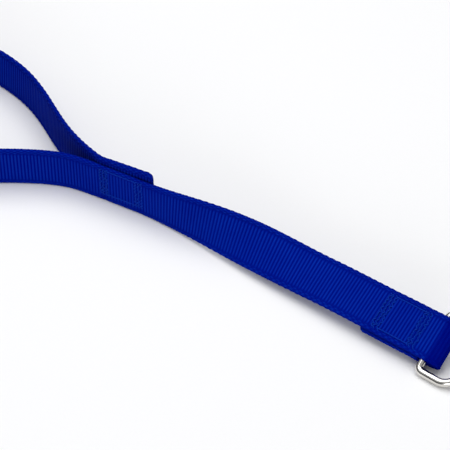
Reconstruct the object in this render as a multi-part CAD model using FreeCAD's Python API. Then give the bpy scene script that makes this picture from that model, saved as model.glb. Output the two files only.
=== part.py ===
import FreeCAD, Part
import os
from math import atan, ceil, cos, degrees, pi, radians, sin

# Head halter for a large dog, laid out on a flat surface, in millimetres.
# The nose loop and the neck strap stand on their woven edges. The lead tab runs from the nose loop's
# seam towards +X and rolls over onto its face on the way to the lead ring.
# Origin: on the resting plane z = 0, at the middle of the tab's lower woven edge, under the loop-side
# bar of the nose-loop seam. +Z is up, and -X runs from the seam towards the neck strap.

# ---- webbing
WIDTH = 20.0
THICKNESS = 1.8
PLY_GAP = 0.1                        # between two sewn plies
PLY_PITCH = THICKNESS + PLY_GAP      # centre to centre of two sewn plies

# ---- nose loop: centre line in plan, as (length, turn in degrees), walked from the seam outwards
SEAM_HEADING = 152.4                 # from the origin along the loop's near strand
NEAR_STRAND = [(4.0, 0.0), (9.0, 4.0), (10.0, 14.0), (10.0, 6.0), (12.0, 3.6)]
FAR_STRAND = [(0.6, 0.0), (4.0, -19.2), (11.0, -5.4), (9.0, -5.4), (10.0, -5.5)]
FAR_STRAND += [(12.0, -1.7), (14.0, 6.4), (12.0, 9.9), (13.0, 9.0)]
FAR_LEAN = 5.4                       # degrees the far strand leans out between the seam and its ring
LEAN_RUN = 25.0                      # it starts to lean at the seam and leans fully this far from it
RING_RUN = 8.0                       # straight run under each cheek ring
TAIL_LENGTH = 22.5                   # far strand's end, from the origin towards the lead ring
TAIL_RISE = 3.1                      # far strand sits this much above the near one at the seam
TAIL_SLOPE = 0.045                   # and climbs on towards its cut end

# ---- lead tab: centre line from the origin, then its roll and lift with distance
TAB_STRAIGHT = 8.0
TAB_BENDS = [(14.0, -2.4), (48.0, -0.6), (45.0, -6.4), (45.0, -0.8)]
TAB_LENGTH = TAB_STRAIGHT + sum(length for length, turn in TAB_BENDS)
ROLL_START = 17.0
ROLL, ROLL_END = 66.0, 105.0         # degrees of roll from standing, reached at this distance
UNROLL, UNROLL_START, UNROLL_SPAN = -14.0, 125.0, 70.0
LIFT, LIFT_BULGE = 5.65, 0.3         # of the lower woven edge: at the ring, and extra half way there

# ---- lead ring, a D of round wire held in the tab's end fold
LEAD_WIRE = 3.5
LEAD_INNER = 22.4                    # between the legs
LEAD_ASIDE = 1.2                     # the ring hangs a little towards the tab's lower edge
LEAD_LEG = 9.0
LEAD_BOW = 7.5                       # radius where the legs turn into the bow
LEAD_CORNER = 2.2
LEAD_BAR_BACK, LEAD_BAR_DOWN = 1.6, 2.9   # bar centre behind and below the end of the straight tab
FOLD_EASE, FOLD_EASE_TURN = 3.9, -26.0    # loose fold round the lead ring's bar: a slow bend first,
FOLD_DEPTH = 5.6                     # then a tight one down to this depth,
FOLD_BACK = 4.9                      # and a straight run back under the bar
FOLD_RUN = 4.7
FOLD_SLIP = 1.2                      # the folded-back ply lies this much nearer the tab's lower edge

# ---- seams
BAR_LENGTH = 3.0                     # along the webbing
BAR_WIDTH = 16.0
BAR_SPACING = 16.8
STITCH_PROUD = 0.3
ROW_WIDTH = 0.8
ROW_OFFSET = 7.4
LEAD_SEAM = TAB_LENGTH - 8.4         # distance of the lead ring's outer bar seam from the origin
LEAD_TAIL = LEAD_SEAM - BAR_SPACING - 6.0

# ---- cheek rings, rectangular wire loops that stand on end
WIRE = 3.0
CHEEK_HIGH, CHEEK_WIDE = 21.0, 8.0   # inner size
CHEEK_CORNER = 2.0
CHEEK_PLAY = 1.6                     # between the nose strap and a ring's inner bar
RING_LIFT = 3.5                      # webbing rides this high inside the rings and the buckle
MID_HEIGHT = RING_LIFT + WIDTH / 2
RAMP_START, RAMP_END = -48.0, -68.0  # where the nose loop climbs to RING_LIFT and its lean ends

# ---- folds of the neck strap round a wire bar
BAR_FOLD = 2.5                       # centre-line radius
NECK_DROP = 2 * BAR_FOLD - PLY_PITCH
NECK_RUN = 12.0
NECK_TAIL = 10.4

# ---- neck strap and its roller buckle
BUCKLE_STRAP = 48.0                  # from the cheek ring's bar to the buckle's pivot bar
BUCKLE_LONG, BUCKLE_HIGH = 20.0, 24.0
BUCKLE_CORNER = 2.0
ROLLER_DIAMETER, ROLLER_LENGTH = 5.2, 19.6
RUNNING_GAP = 0.05                   # radial clearance of the roller and of the tongue's eye
TONGUE_WIDTH, TONGUE_THICK = 2.6, 2.2
TONGUE_REST = 1.2                    # tongue's length past the roller's centre line
TONGUE_GAP = 0.15                    # between the tongue's tip and the roller
SLOT_HALF = 2.0
NECK_BACK, NECK_BULGE, NECK_BULGE_TURN, NECK_TIP = 100.0, 45.0, 25.0, 24.0
TIP_ROUND = 7.0
HOLE_PITCH, HOLE_FIRST, HOLES = 18.0, 25.0, 5
EYELET_BORE, EYELET_BARREL, EYELET_FLANGE, EYELET_SHEET = 4.2, 5.0, 8.6, 0.4
HOLE_CLEAR = 0.05
KEEPER_LONG, KEEPER_THICK = 9.0, 1.2
KEEPER_PLACE = 14.0                  # keeper's centre from the buckle's pivot bar

# ---- nose pad, on the inside of the nose loop
PAD_THICK, PAD_WIDE, PAD_ANGLE = 4.0, 24.0, 140.0
PAD_GAP = 0.1

UP = FreeCAD.Vector(0, 0, 1)
STEP, STEP_TURN = 3.0, 10.0          # longest step and sharpest turn between two cross-sections


def vector(x, y, z=0.0):
    return FreeCAD.Vector(x, y, z)


def smoothstep(value):
    value = min(max(value, 0.0), 1.0)
    return value * value * (3 - 2 * value)


def walk(start, heading, pieces):
    """Spans of (x, y, heading, distance) along straight runs and arcs given as (length, turn)."""
    x, y = start
    distance = 0.0
    spans = []
    for length, turn in pieces:
        count = max(1, ceil(length / STEP), ceil(abs(turn) / STEP_TURN))
        span = [(x, y, heading, distance)]
        for index in range(1, count + 1):
            part = index / count
            if abs(turn) < 1e-9:
                px = x + length * part * cos(radians(heading))
                py = y + length * part * sin(radians(heading))
            else:
                radius = length / radians(turn)
                now = heading + turn * part
                px = x + radius * (sin(radians(now)) - sin(radians(heading)))
                py = y - radius * (cos(radians(now)) - cos(radians(heading)))
            span.append((px, py, heading + turn * part, distance + length * part))
        spans.append(span)
        x, y, heading, distance = span[-1]
    return spans


def s_bend(drop, run, first_turn):
    """Two equal arcs that shift a path sideways by drop over run; first_turn is the first arc's sign."""
    angle = 2 * degrees(atan(drop / run))
    radius = run / (2 * sin(radians(angle)))
    length = radius * radians(angle)
    return [(length, first_turn * angle), (length, -first_turn * angle)]


def frame(centre, tangent, across):
    """A cross-section of webbing: its centre, the direction across it and the way its face points."""
    return centre, across, tangent.cross(across)


def standing(span, height, lean=None):
    """Frames of webbing that stands on edge; height gives an upright centre's z at a plan position x."""
    frames = []
    for x, y, heading, distance in span:
        tangent = vector(cos(radians(heading)), sin(radians(heading)))
        tilt = radians(lean(x)) if lean else 0.0
        across = UP * cos(tilt) + tangent.cross(UP) * sin(tilt)
        sink = WIDTH / 2 * (1 - cos(tilt)) - THICKNESS / 2 * sin(tilt)
        frames.append(frame(vector(x, y, height(x) - sink), tangent, across))
    return frames


def corners(section, width, thickness, shift=0.0):
    centre, across, facing = section
    middle = centre + facing * shift
    signs = ((-1, -1), (1, -1), (1, 1), (-1, 1))
    return [middle + across * (a * width / 2) + facing * (f * thickness / 2) for a, f in signs]


def edge_through(points):
    """A straight edge where the points lie on a line, and a smooth curve through them otherwise."""
    first, last = points[0], points[-1]
    length = (last - first).Length
    bow = max(((point - first).cross(last - first)).Length / length for point in points)
    if bow < 1e-4:
        return Part.makeLine(first, last)
    curve = Part.BSplineCurve()
    curve.interpolate(Points=points)
    return curve.toShape()


def face_between(rail, other):
    """A flat face between two straight rails in one plane, and a ruled one otherwise."""
    edges = edge_through(rail), edge_through(other)
    if all(edge.Curve.TypeId == "Part::GeomLine" for edge in edges):
        outline = [rail[0], rail[-1], other[-1], other[0]]
        normal = (outline[1] - outline[0]).cross(outline[3] - outline[0]).normalize()
        if abs((outline[2] - outline[0]).dot(normal)) < 1e-6:
            return Part.Face(Part.makePolygon(outline + outline[:1]))
    return Part.makeRuledSurface(*edges)


def solid_from(faces):
    shell = Part.makeShell(faces)
    shell.sewShape()
    solid = Part.makeSolid(shell)
    if solid.Volume < 0:
        solid.reverse()
    return solid


def band(spans, width, thickness, shift=0.0):
    """A closed solid of rectangular cross-section through spans of frames."""
    faces = []
    for span in spans:
        rails = [list(rail) for rail in zip(*(corners(section, width, thickness, shift) for section in span))]
        for index in range(4):
            faces.append(face_between(rails[index], rails[(index + 1) % 4]))
    for section in (spans[0][0], spans[-1][-1]):
        ring = corners(section, width, thickness, shift)
        faces.append(Part.Face(Part.makePolygon(ring + ring[:1])))
    return solid_from(faces)


def cylinder(radius, start, end):
    return Part.makeCylinder(radius, (end - start).Length, start, end - start)


def wire_loop(points, radii, diameter):
    """A round wire bent round a closed outline, with a bend radius at each corner."""
    count = len(points)
    edges = []
    trims = []
    for index in range(count):
        corner = points[index]
        back = (points[index - 1] - corner).normalize()
        ahead = (points[(index + 1) % count] - corner).normalize()
        half = back.getAngle(ahead) / 2
        reach = radii[index] / (sin(half) / cos(half))
        middle = corner + (back + ahead).normalize() * (radii[index] / sin(half) - radii[index])
        trims.append((corner + back * reach, middle, corner + ahead * reach))
    for index in range(count):
        start, middle, end = trims[index]
        edges.append(Part.Arc(start, middle, end).toShape())
        after = trims[(index + 1) % count][0]
        if (after - end).Length > 1e-6:
            edges.append(Part.makeLine(end, after))
    path = Part.Wire(edges)
    first = edges[1]
    at = first.Vertexes[0].Point
    along = first.Vertexes[1].Point - at
    profile = Part.Wire(Part.makeCircle(diameter / 2, at, along))
    straight_first = Part.Wire(edges[1:] + edges[:1])
    return straight_first.makePipeShell([profile], True, False)


def save(name, shape):
    if not shape.isValid() or shape.Volume <= 0:
        raise ValueError(name + " is not a valid solid")
    shape.exportStep("parts/" + name + ".step")


# ---- plan of the nose loop

def nose_plan():
    """Pieces of the nose loop from its far tail round to the near strand, and where they start."""
    away = vector(cos(radians(SEAM_HEADING - 90)), sin(radians(SEAM_HEADING - 90)))
    far_start = away * PLY_PITCH
    near_end = walk((0.0, 0.0), SEAM_HEADING, NEAR_STRAND)[-1][-1]
    far_end = walk((far_start.x, far_start.y), SEAM_HEADING, FAR_STRAND)[-1][-1]
    opening = radians(180.0 - far_end[2])
    radius = (far_end[1] - near_end[1]) / (1 + cos(opening))
    top_x = far_end[0] - radius * sin(opening)
    near_run = near_end[0] - top_x + RING_RUN
    ahead = vector(cos(radians(SEAM_HEADING)), sin(radians(SEAM_HEADING)))
    tail = far_start - ahead * TAIL_LENGTH
    pieces = [(TAIL_LENGTH, 0.0)] + FAR_STRAND
    pieces += [(radius * opening, degrees(opening)), (RING_RUN, 0.0)]
    pieces += [(radius * pi / 2, 90.0), (radius * pi / 2, 90.0), (near_run, 0.0)]
    pieces += [(length, -turn) for length, turn in reversed(NEAR_STRAND)]
    end_centre = vector(top_x - RING_RUN, near_end[1] + radius)
    return (tail.x, tail.y), pieces, radius, end_centre


NOSE_START, NOSE_PIECES, END_RADIUS, END_CENTRE = nose_plan()
RING_X = END_CENTRE.x + RING_RUN / 2
NEAR_Y = END_CENTRE.y - END_RADIUS
FAR_Y = END_CENTRE.y + END_RADIUS


def nose_height(x):
    """Height of the nose loop's centre: it stands on the floor, and climbs into the cheek rings."""
    ramp = RING_LIFT * smoothstep((RAMP_START - x) / (RAMP_START - RAMP_END))
    return WIDTH / 2 + ramp


def tail_height(x):
    """The far strand's height: it is sewn on a little higher than the near strand."""
    return nose_height(x) + TAIL_RISE * smoothstep((x + 28.0) / 30.0) + TAIL_SLOPE * max(0.0, x)


def far_lean(x):
    """The far strand's lean, outwards from the nose loop, in degrees."""
    upright = smoothstep((RAMP_START - x) / (RAMP_START - RAMP_END))
    return FAR_LEAN * smoothstep(-x / LEAN_RUN) * (1 - upright)


def tab_frame(distance):
    """The tab's cross-section at a distance from the origin, with its tangent."""
    bends = [(TAB_STRAIGHT, 0.0)] + TAB_BENDS
    heading = SEAM_HEADING - 180.0
    x = y = 0.0
    left = distance
    for length, turn in bends:
        step = min(left, length)
        if step > 0:
            x, y, heading, gone = walk((x, y), heading, [(step, turn * step / length)])[-1][-1]
            left -= step
    tangent = vector(cos(radians(heading)), sin(radians(heading)))
    roll = ROLL * smoothstep((distance - ROLL_START) / (ROLL_END - ROLL_START))
    roll += UNROLL * smoothstep((distance - UNROLL_START) / UNROLL_SPAN)
    progress = min(max((distance - ROLL_START) / (TAB_LENGTH - ROLL_START), 0.0), 1.0)
    lift = LIFT_BULGE * sin(pi * progress) ** 2 + LIFT * smoothstep(progress)
    turned = radians(roll)
    side = UP.cross(tangent)
    across = UP * cos(turned) + side * sin(turned)
    centre = vector(x, y, lift + WIDTH / 2 * cos(turned) + THICKNESS / 2 * sin(turned))
    return frame(centre + tangent * left, tangent, across), tangent


def on_tab(distance, below, heading=0.0, aside=0.0):
    """A cross-section under the tab, walked in the tab's own lengthwise plane at a heading."""
    (centre, across, facing), tangent = tab_frame(distance)
    along = tangent * cos(radians(heading)) + facing * sin(radians(heading))
    return frame(centre - facing * below - across * aside, along, across)


def between(start, end, count):
    return [start + (end - start) * index / count for index in range(count + 1)]


# ---- webbing, its seams and the lead ring

def lead_fold():
    """The fold round the lead ring's bar, walked in the tab's own lengthwise plane."""
    ease = walk((0.0, 0.0), 0.0, [(FOLD_EASE, FOLD_EASE_TURN)])[-1][-1]
    radius = (FOLD_DEPTH + ease[1]) / (1 + cos(radians(FOLD_EASE_TURN)))
    turn = -180.0 - FOLD_EASE_TURN
    pieces = [(FOLD_EASE, FOLD_EASE_TURN), (radius * radians(-turn), turn), (FOLD_BACK, 0.0)]
    return walk((0.0, 0.0), 0.0, pieces + s_bend(FOLD_DEPTH - PLY_PITCH, FOLD_RUN, -1))


def nose_strap():
    """One length of webbing: far tail, round the nose, the tab, round the lead ring's bar and back."""
    plan = walk(NOSE_START, SEAM_HEADING, NOSE_PIECES)
    far = 2 + len(FAR_STRAND)
    spans = [standing(span, tail_height, far_lean) for span in plan[:far]]
    spans += [standing(span, nose_height) for span in plan[far:]]
    spans.append([tab_frame(0.0)[0], tab_frame(TAB_STRAIGHT)[0]])
    spans.append([tab_frame(distance)[0] for distance in between(TAB_STRAIGHT, TAB_LENGTH, 28)])
    fold = lead_fold()
    slip = FOLD_SLIP / fold[-1][-1][3]
    for span in fold:
        spans.append([on_tab(TAB_LENGTH + x, -y, heading, slip * gone) for x, y, heading, gone in span])
    joined = TAB_LENGTH + fold[-1][-1][0]
    lower = between(joined, LEAD_TAIL, 6)
    spans.append([on_tab(distance, PLY_PITCH, 180.0, FOLD_SLIP) for distance in lower])
    return band(spans, WIDTH, THICKNESS)


def lead_ring():
    """A D-shaped ring whose straight bar lies in the fold, its bow pointing on along the tab."""
    (centre, across, facing), tangent = tab_frame(TAB_LENGTH)
    bar = centre - tangent * LEAD_BAR_BACK - facing * LEAD_BAR_DOWN - across * LEAD_ASIDE
    half = (LEAD_INNER + LEAD_WIRE) / 2
    reach = LEAD_LEG + LEAD_BOW
    outline = [(0, -half), (reach, -half), (reach, half), (0, half)]
    points = [bar + tangent * along + across * side for along, side in outline]
    radii = [LEAD_CORNER, LEAD_BOW, LEAD_BOW, LEAD_CORNER]
    return wire_loop(points, radii, LEAD_WIRE)


def two_ply_block(sections, width, shift=-PLY_PITCH / 2):
    return band([sections], width, 2 * THICKNESS + PLY_GAP + 2 * STITCH_PROUD, shift)


def lead_bar(distance):
    """A dense bar of stitches across both plies of the tab."""
    ends = between(distance - BAR_LENGTH / 2, distance + BAR_LENGTH / 2, 2)
    return two_ply_block([tab_frame(place)[0] for place in ends], BAR_WIDTH)


def lead_side_rows():
    start = LEAD_SEAM - BAR_SPACING + BAR_LENGTH / 2 + 0.2
    end = LEAD_SEAM - BAR_LENGTH / 2 - 0.2
    rows = []
    for side in (-ROW_OFFSET, ROW_OFFSET):
        sections = []
        for distance in between(start, end, 4):
            (centre, across, facing), tangent = tab_frame(distance)
            sections.append((centre + across * side, across, facing))
        rows.append(two_ply_block(sections, ROW_WIDTH))
    return Part.makeCompound(rows)


def loop_block(start, end, middle, height):
    """Stitching through the two standing plies of the nose-loop seam."""
    ahead = vector(-cos(radians(SEAM_HEADING)), -sin(radians(SEAM_HEADING)))
    sections = [frame(ahead * place + UP * middle, ahead, UP) for place in (start, end)]
    return two_ply_block(sections, height)


def loop_bar(place):
    return loop_block(place - BAR_LENGTH / 2, place + BAR_LENGTH / 2, 11.5, 15.0)


def loop_side_rows():
    start, end = BAR_LENGTH / 2 + 0.2, BAR_SPACING - BAR_LENGTH / 2 - 0.2
    return Part.makeCompound([loop_block(start, end, 11.5 + side, ROW_WIDTH) for side in (-6.9, 6.9)])


# ---- nose pad

def pad_sections(radius, angle, count):
    sections = []
    for turn in between(180.0 - angle / 2, 180.0 + angle / 2, count):
        outward = vector(cos(radians(turn)), sin(radians(turn)))
        centre = END_CENTRE + outward * radius + UP * MID_HEIGHT
        sections.append(frame(centre, UP.cross(outward), UP))
    return sections


def nose_pad():
    radius = END_RADIUS - THICKNESS / 2 - PAD_GAP - PAD_THICK / 2
    return band([pad_sections(radius, PAD_ANGLE, 18)], PAD_WIDE, PAD_THICK)


def nose_pad_seams():
    """Two rows of stitches along the webbing's edges, through the webbing and into the pad."""
    inner = END_RADIUS - THICKNESS / 2 - PAD_GAP - PAD_THICK * 0.6
    outer = END_RADIUS + THICKNESS / 2 + STITCH_PROUD
    rows = []
    for side in (-8.4, 8.4):
        sections = [
            (centre + UP * side, across, facing)
            for centre, across, facing in pad_sections((inner + outer) / 2, PAD_ANGLE - 6.0, 18)
        ]
        rows.append(band([sections], ROW_WIDTH, outer - inner))
    return Part.makeCompound(rows)


# ---- cheek rings

def cheek_bars(strap_y, outward):
    """The y of a cheek ring's inner and outer bars; outward is +1 on the far side and -1 on the near."""
    inner = strap_y - outward * (THICKNESS / 2 + CHEEK_PLAY + WIRE / 2)
    return inner, inner + outward * (CHEEK_WIDE + WIRE)


def cheek_ring(strap_y, outward):
    inner, outer = cheek_bars(strap_y, outward)
    low = MID_HEIGHT - (CHEEK_HIGH + WIRE) / 2
    high = MID_HEIGHT + (CHEEK_HIGH + WIRE) / 2
    points = [vector(RING_X, y, z) for y, z in ((inner, low), (outer, low), (outer, high), (inner, high))]
    return wire_loop(points, [CHEEK_CORNER] * 4, WIRE)


NEAR_BAR_Y = cheek_bars(NEAR_Y, -1)[1]
FAR_BAR_Y = cheek_bars(FAR_Y, 1)[1]
PIVOT_X = RING_X - BUCKLE_STRAP
END_BAR_X = PIVOT_X - BUCKLE_LONG


# ---- buckle strap, near side

def neck_height(x):
    return MID_HEIGHT


def buckle_strap_plan():
    start = (RING_X - NECK_RUN - NECK_TAIL, NEAR_BAR_Y - BAR_FOLD + PLY_PITCH)
    turn_back = (pi * BAR_FOLD, -180.0)
    pieces = [(NECK_TAIL, 0.0)] + s_bend(NECK_DROP, NECK_RUN, 1) + [turn_back]
    pieces += [(BUCKLE_STRAP, 0.0), turn_back] + s_bend(NECK_DROP, NECK_RUN, -1) + [(NECK_TAIL, 0.0)]
    return walk(start, 0.0, pieces)


def buckle_strap():
    """A short strap folded round the near cheek ring's bar and round the buckle's pivot bar."""
    strap = band([standing(span, neck_height) for span in buckle_strap_plan()], WIDTH, THICKNESS)
    slot = Part.makeBox(11.0, 14.0, 2 * SLOT_HALF)
    slot.translate(vector(PIVOT_X - 6.0, NEAR_BAR_Y - 7.0, MID_HEIGHT - SLOT_HALF))
    return strap.cut(slot)


def neck_bar(x, outer_y, inward):
    """A bar of stitches across the two plies of a neck-strap fold; inward points to the inner ply."""
    sections = [
        frame(vector(x + side, outer_y + inward * PLY_PITCH / 2, MID_HEIGHT), vector(1, 0), UP)
        for side in (-BAR_LENGTH / 2, BAR_LENGTH / 2)
    ]
    return two_ply_block(sections, BAR_WIDTH, 0.0)


def neck_seam_x():
    return RING_X - NECK_RUN - NECK_TAIL / 2 + 1.0


# ---- crown strap, the long neck strap on the far side

def crown_plan():
    outer_y = FAR_BAR_Y + BAR_FOLD
    start = (RING_X - NECK_RUN - NECK_TAIL, outer_y - PLY_PITCH)
    drop = outer_y - NEAR_BAR_Y
    bulge_radius = NECK_BULGE / radians(NECK_BULGE_TURN)
    rise = 2 * bulge_radius * (1 - cos(radians(NECK_BULGE_TURN)))
    radius = (drop + rise) / (2 * cos(radians(NECK_BULGE_TURN)))
    sweep = 180.0 + 2 * NECK_BULGE_TURN
    bend = (radius * radians(sweep) / 2, sweep / 2)
    pieces = [(NECK_TAIL, 0.0)] + s_bend(NECK_DROP, NECK_RUN, -1) + [(pi * BAR_FOLD, 180.0)]
    pieces += [(34.0, 0.0), (NECK_BACK - 34.0, 0.0), (NECK_BULGE, -NECK_BULGE_TURN), bend, bend]
    pieces += [(NECK_BULGE, -NECK_BULGE_TURN), (NECK_TIP, 0.0)]
    return walk(start, 0.0, pieces)


CROWN = crown_plan()
CROWN_LENGTH = CROWN[-1][-1][3]
CROWN_DOWN_START, CROWN_DOWN_END = CROWN[5][0][3], CROWN[6][-1][3]


def crown_height(distance):
    """Height of the crown strap's centre: it comes down from the ring onto its edge."""
    down = smoothstep((distance - CROWN_DOWN_START) / (CROWN_DOWN_END - CROWN_DOWN_START))
    return MID_HEIGHT - RING_LIFT * down


def crown_frames(span):
    return [
        frame(vector(x, y, crown_height(gone)), vector(cos(radians(heading)), sin(radians(heading))), UP)
        for x, y, heading, gone in span
    ]


def crown_place(distance):
    """The crown strap's cross-section at a distance from its tail."""
    for span in CROWN:
        if distance <= span[-1][3] + 1e-9:
            x, y, heading, gone = span[0]
            share = (distance - gone) / (span[-1][3] - gone)
            part = [(distance - gone, (span[-1][2] - heading) * share)]
            px, py, turned, walked = walk((x, y), heading, part)[-1][-1]
            return crown_frames([(px, py, turned, distance)])[0]
    return crown_frames([CROWN[-1][-1]])[0]


def hole_sections():
    return [crown_place(CROWN_LENGTH - HOLE_FIRST - index * HOLE_PITCH) for index in range(HOLES)]


def hole_cylinder(section, diameter, low, high):
    centre, across, facing = section
    return cylinder(diameter / 2, centre + facing * low, centre + facing * high)


def tip_corners(section):
    """What the strap's rounded tip leaves out of a square end."""
    centre, across, facing = section
    back = facing.cross(across)
    pieces = []
    for side in (-1, 1):
        corner = centre + across * (side * WIDTH / 2)
        middle = corner - across * (side * TIP_ROUND) + back * TIP_ROUND
        sheet = [corner, corner - across * (side * TIP_ROUND), middle, corner + back * TIP_ROUND]
        square = Part.Face(Part.makePolygon(sheet + sheet[:1]))
        block = square.extrude(facing * 4.0)
        block.translate(facing * -2.0)
        pieces.append(block.cut(cylinder(TIP_ROUND, middle - facing * 3.0, middle + facing * 3.0)))
    return Part.makeCompound(pieces)


def crown_strap():
    strap = band([crown_frames(span) for span in CROWN], WIDTH, THICKNESS)
    for section in hole_sections():
        strap = strap.cut(hole_cylinder(section, EYELET_BARREL + 2 * HOLE_CLEAR, -2.0, 2.0))
    return strap.cut(tip_corners(crown_place(CROWN_LENGTH)))


def eyelet(section):
    """Barrel and outer flange of one eyelet; the flange is on the strap's outer face."""
    face = THICKNESS / 2 + HOLE_CLEAR
    barrel = hole_cylinder(section, EYELET_BARREL, -face - EYELET_SHEET, face + EYELET_SHEET)
    flange = hole_cylinder(section, EYELET_FLANGE, face, face + EYELET_SHEET)
    return barrel.fuse(flange).cut(hole_cylinder(section, EYELET_BORE, -3.0, 3.0))


def eyelet_washer(section):
    face = THICKNESS / 2 + HOLE_CLEAR
    disc = hole_cylinder(section, EYELET_FLANGE, -face - EYELET_SHEET, -face)
    return disc.cut(hole_cylinder(section, EYELET_BARREL + 2 * HOLE_CLEAR, -3.0, 3.0))


# ---- buckle

def buckle_frame():
    low, high = MID_HEIGHT - BUCKLE_HIGH / 2, MID_HEIGHT + BUCKLE_HIGH / 2
    corners_xz = ((PIVOT_X, low), (END_BAR_X, low), (END_BAR_X, high), (PIVOT_X, high))
    points = [vector(x, NEAR_BAR_Y, z) for x, z in corners_xz]
    return wire_loop(points, [BUCKLE_CORNER] * 4, WIRE)


def tube(x, y, inner, outer, length):
    base = vector(x, y, MID_HEIGHT - length / 2)
    return Part.makeCylinder(outer, length, base).cut(Part.makeCylinder(inner, length, base))


def buckle_roller():
    return tube(END_BAR_X, NEAR_BAR_Y, WIRE / 2 + RUNNING_GAP, ROLLER_DIAMETER / 2, ROLLER_LENGTH)


def buckle_tongue():
    """A prong with an eye round the pivot bar; it rests on the roller, on the strap's outer side."""
    inner = WIRE / 2 + RUNNING_GAP
    eye = tube(PIVOT_X, NEAR_BAR_Y, inner, inner + TONGUE_THICK, TONGUE_WIDTH)
    root_y = NEAR_BAR_Y - inner - TONGUE_THICK
    rest_y = NEAR_BAR_Y - ROLLER_DIAMETER / 2 - TONGUE_GAP - TONGUE_THICK
    end_x = END_BAR_X - TONGUE_REST
    low = MID_HEIGHT - TONGUE_WIDTH / 2
    outline = [
        vector(PIVOT_X, root_y, low),
        vector(end_x, rest_y, low),
        vector(end_x, rest_y + TONGUE_THICK, low),
        vector(PIVOT_X, root_y + TONGUE_THICK, low),
    ]
    prong = Part.Face(Part.makePolygon(outline + outline[:1])).extrude(UP * TONGUE_WIDTH)
    tip = Part.makeCylinder(TONGUE_THICK / 2, TONGUE_WIDTH, vector(end_x, rest_y + TONGUE_THICK / 2, low))
    bore = Part.makeCylinder(inner, 2 * WIDTH, vector(PIVOT_X, NEAR_BAR_Y, 0))
    return eye.fuse(prong).fuse(tip).cut(bore).removeSplitter()


def keeper_loop():
    """A webbing loop that slides on the buckle strap and leaves room for the crown strap's end."""
    outer_ply = NEAR_BAR_Y - BAR_FOLD
    near = outer_ply - THICKNESS / 2 - 0.5 - THICKNESS - 0.5
    far = outer_ply + PLY_PITCH + THICKNESS / 2 + 0.4
    low, high = RING_LIFT - 0.3, RING_LIFT + WIDTH + 0.3
    x = PIVOT_X + KEEPER_PLACE - KEEPER_LONG / 2
    hollow = Part.makeBox(KEEPER_LONG, far - near, high - low, vector(x, near, low))
    outer = Part.makeBox(
        KEEPER_LONG,
        far - near + 2 * KEEPER_THICK,
        high - low + 2 * KEEPER_THICK,
        vector(x, near - KEEPER_THICK, low - KEEPER_THICK),
    )
    along = [edge for edge in outer.Edges if abs(edge.tangentAt(edge.FirstParameter).x) > 0.9]
    return outer.makeFillet(1.0, along).cut(hollow)


def main():
    os.makedirs("parts", exist_ok=True)
    save("nose_strap", nose_strap())
    save("lead_ring", lead_ring())
    save("lead_seam_outer_bar", lead_bar(LEAD_SEAM))
    save("lead_seam_inner_bar", lead_bar(LEAD_SEAM - BAR_SPACING))
    save("lead_seam_side_rows", lead_side_rows())
    save("loop_seam_outer_bar", loop_bar(0.0))
    save("loop_seam_inner_bar", loop_bar(BAR_SPACING))
    save("loop_seam_side_rows", loop_side_rows())
    save("nose_pad", nose_pad())
    save("nose_pad_seams", nose_pad_seams())
    save("cheek_ring_near", cheek_ring(NEAR_Y, -1))
    save("cheek_ring_far", cheek_ring(FAR_Y, 1))
    save("buckle_strap", buckle_strap())
    near_ply = NEAR_BAR_Y - BAR_FOLD
    save("buckle_strap_ring_seam", neck_bar(neck_seam_x(), near_ply, 1))
    save("buckle_strap_pivot_seam", neck_bar(PIVOT_X + RING_X - neck_seam_x(), near_ply, 1))
    save("crown_strap", crown_strap())
    save("crown_strap_ring_seam", neck_bar(neck_seam_x(), FAR_BAR_Y + BAR_FOLD, -1))
    save("eyelets", Part.makeCompound([eyelet(section) for section in hole_sections()]))
    save("eyelet_washers", Part.makeCompound([eyelet_washer(section) for section in hole_sections()]))
    save("buckle_frame", buckle_frame())
    save("buckle_roller", buckle_roller())
    save("buckle_tongue", buckle_tongue())
    save("keeper_loop", keeper_loop())


main()
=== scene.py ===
from collections import namedtuple
from math import atan, ceil, cos, degrees, pi, radians, sin

import bmesh
import bpy
import numpy as np
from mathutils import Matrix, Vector


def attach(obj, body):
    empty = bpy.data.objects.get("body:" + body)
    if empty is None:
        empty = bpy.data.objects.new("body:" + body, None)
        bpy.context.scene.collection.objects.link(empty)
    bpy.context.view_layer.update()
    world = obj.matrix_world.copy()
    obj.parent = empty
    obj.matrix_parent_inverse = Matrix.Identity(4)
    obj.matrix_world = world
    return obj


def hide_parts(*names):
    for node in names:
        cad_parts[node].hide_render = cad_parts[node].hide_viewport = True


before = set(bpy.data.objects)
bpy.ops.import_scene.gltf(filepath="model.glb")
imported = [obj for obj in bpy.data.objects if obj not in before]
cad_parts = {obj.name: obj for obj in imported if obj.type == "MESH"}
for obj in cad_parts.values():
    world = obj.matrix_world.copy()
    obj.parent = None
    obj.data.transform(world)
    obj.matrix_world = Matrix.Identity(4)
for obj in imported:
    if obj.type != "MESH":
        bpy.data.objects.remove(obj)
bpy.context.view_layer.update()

# Looks of a webbing head halter. Lengths are in millimetres and are turned into metres when a mesh is made.
# Each length of webbing follows its CAD solid's centre line, with its ribs and selvages as geometry.
MM = 0.001
UP = np.array((0.0, 0.0, 1.0))

# ---- webbing
WIDTH, THICKNESS = 20.0, 1.8
PLY_PITCH = 1.9
RIB_PITCH = 1.45
RIB_STEPS = 6                     # samples along one rib
RIB_HEIGHT = 0.17
SELVAGE = 1.7                     # width of the edge weave on each face
CORD = 0.55                       # spacing of the selvage's cords
CORD_HEIGHT = 0.24
CREST_SHAPE, GROOVE_SHAPE = 1.1, 0.6
END_MELT, MELT_RUN = 0.55, 0.9    # thickness left at a heat-cut end, and how soon it is whole again
FINE = 0.4                        # sample length of a centre line before it is resampled

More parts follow.
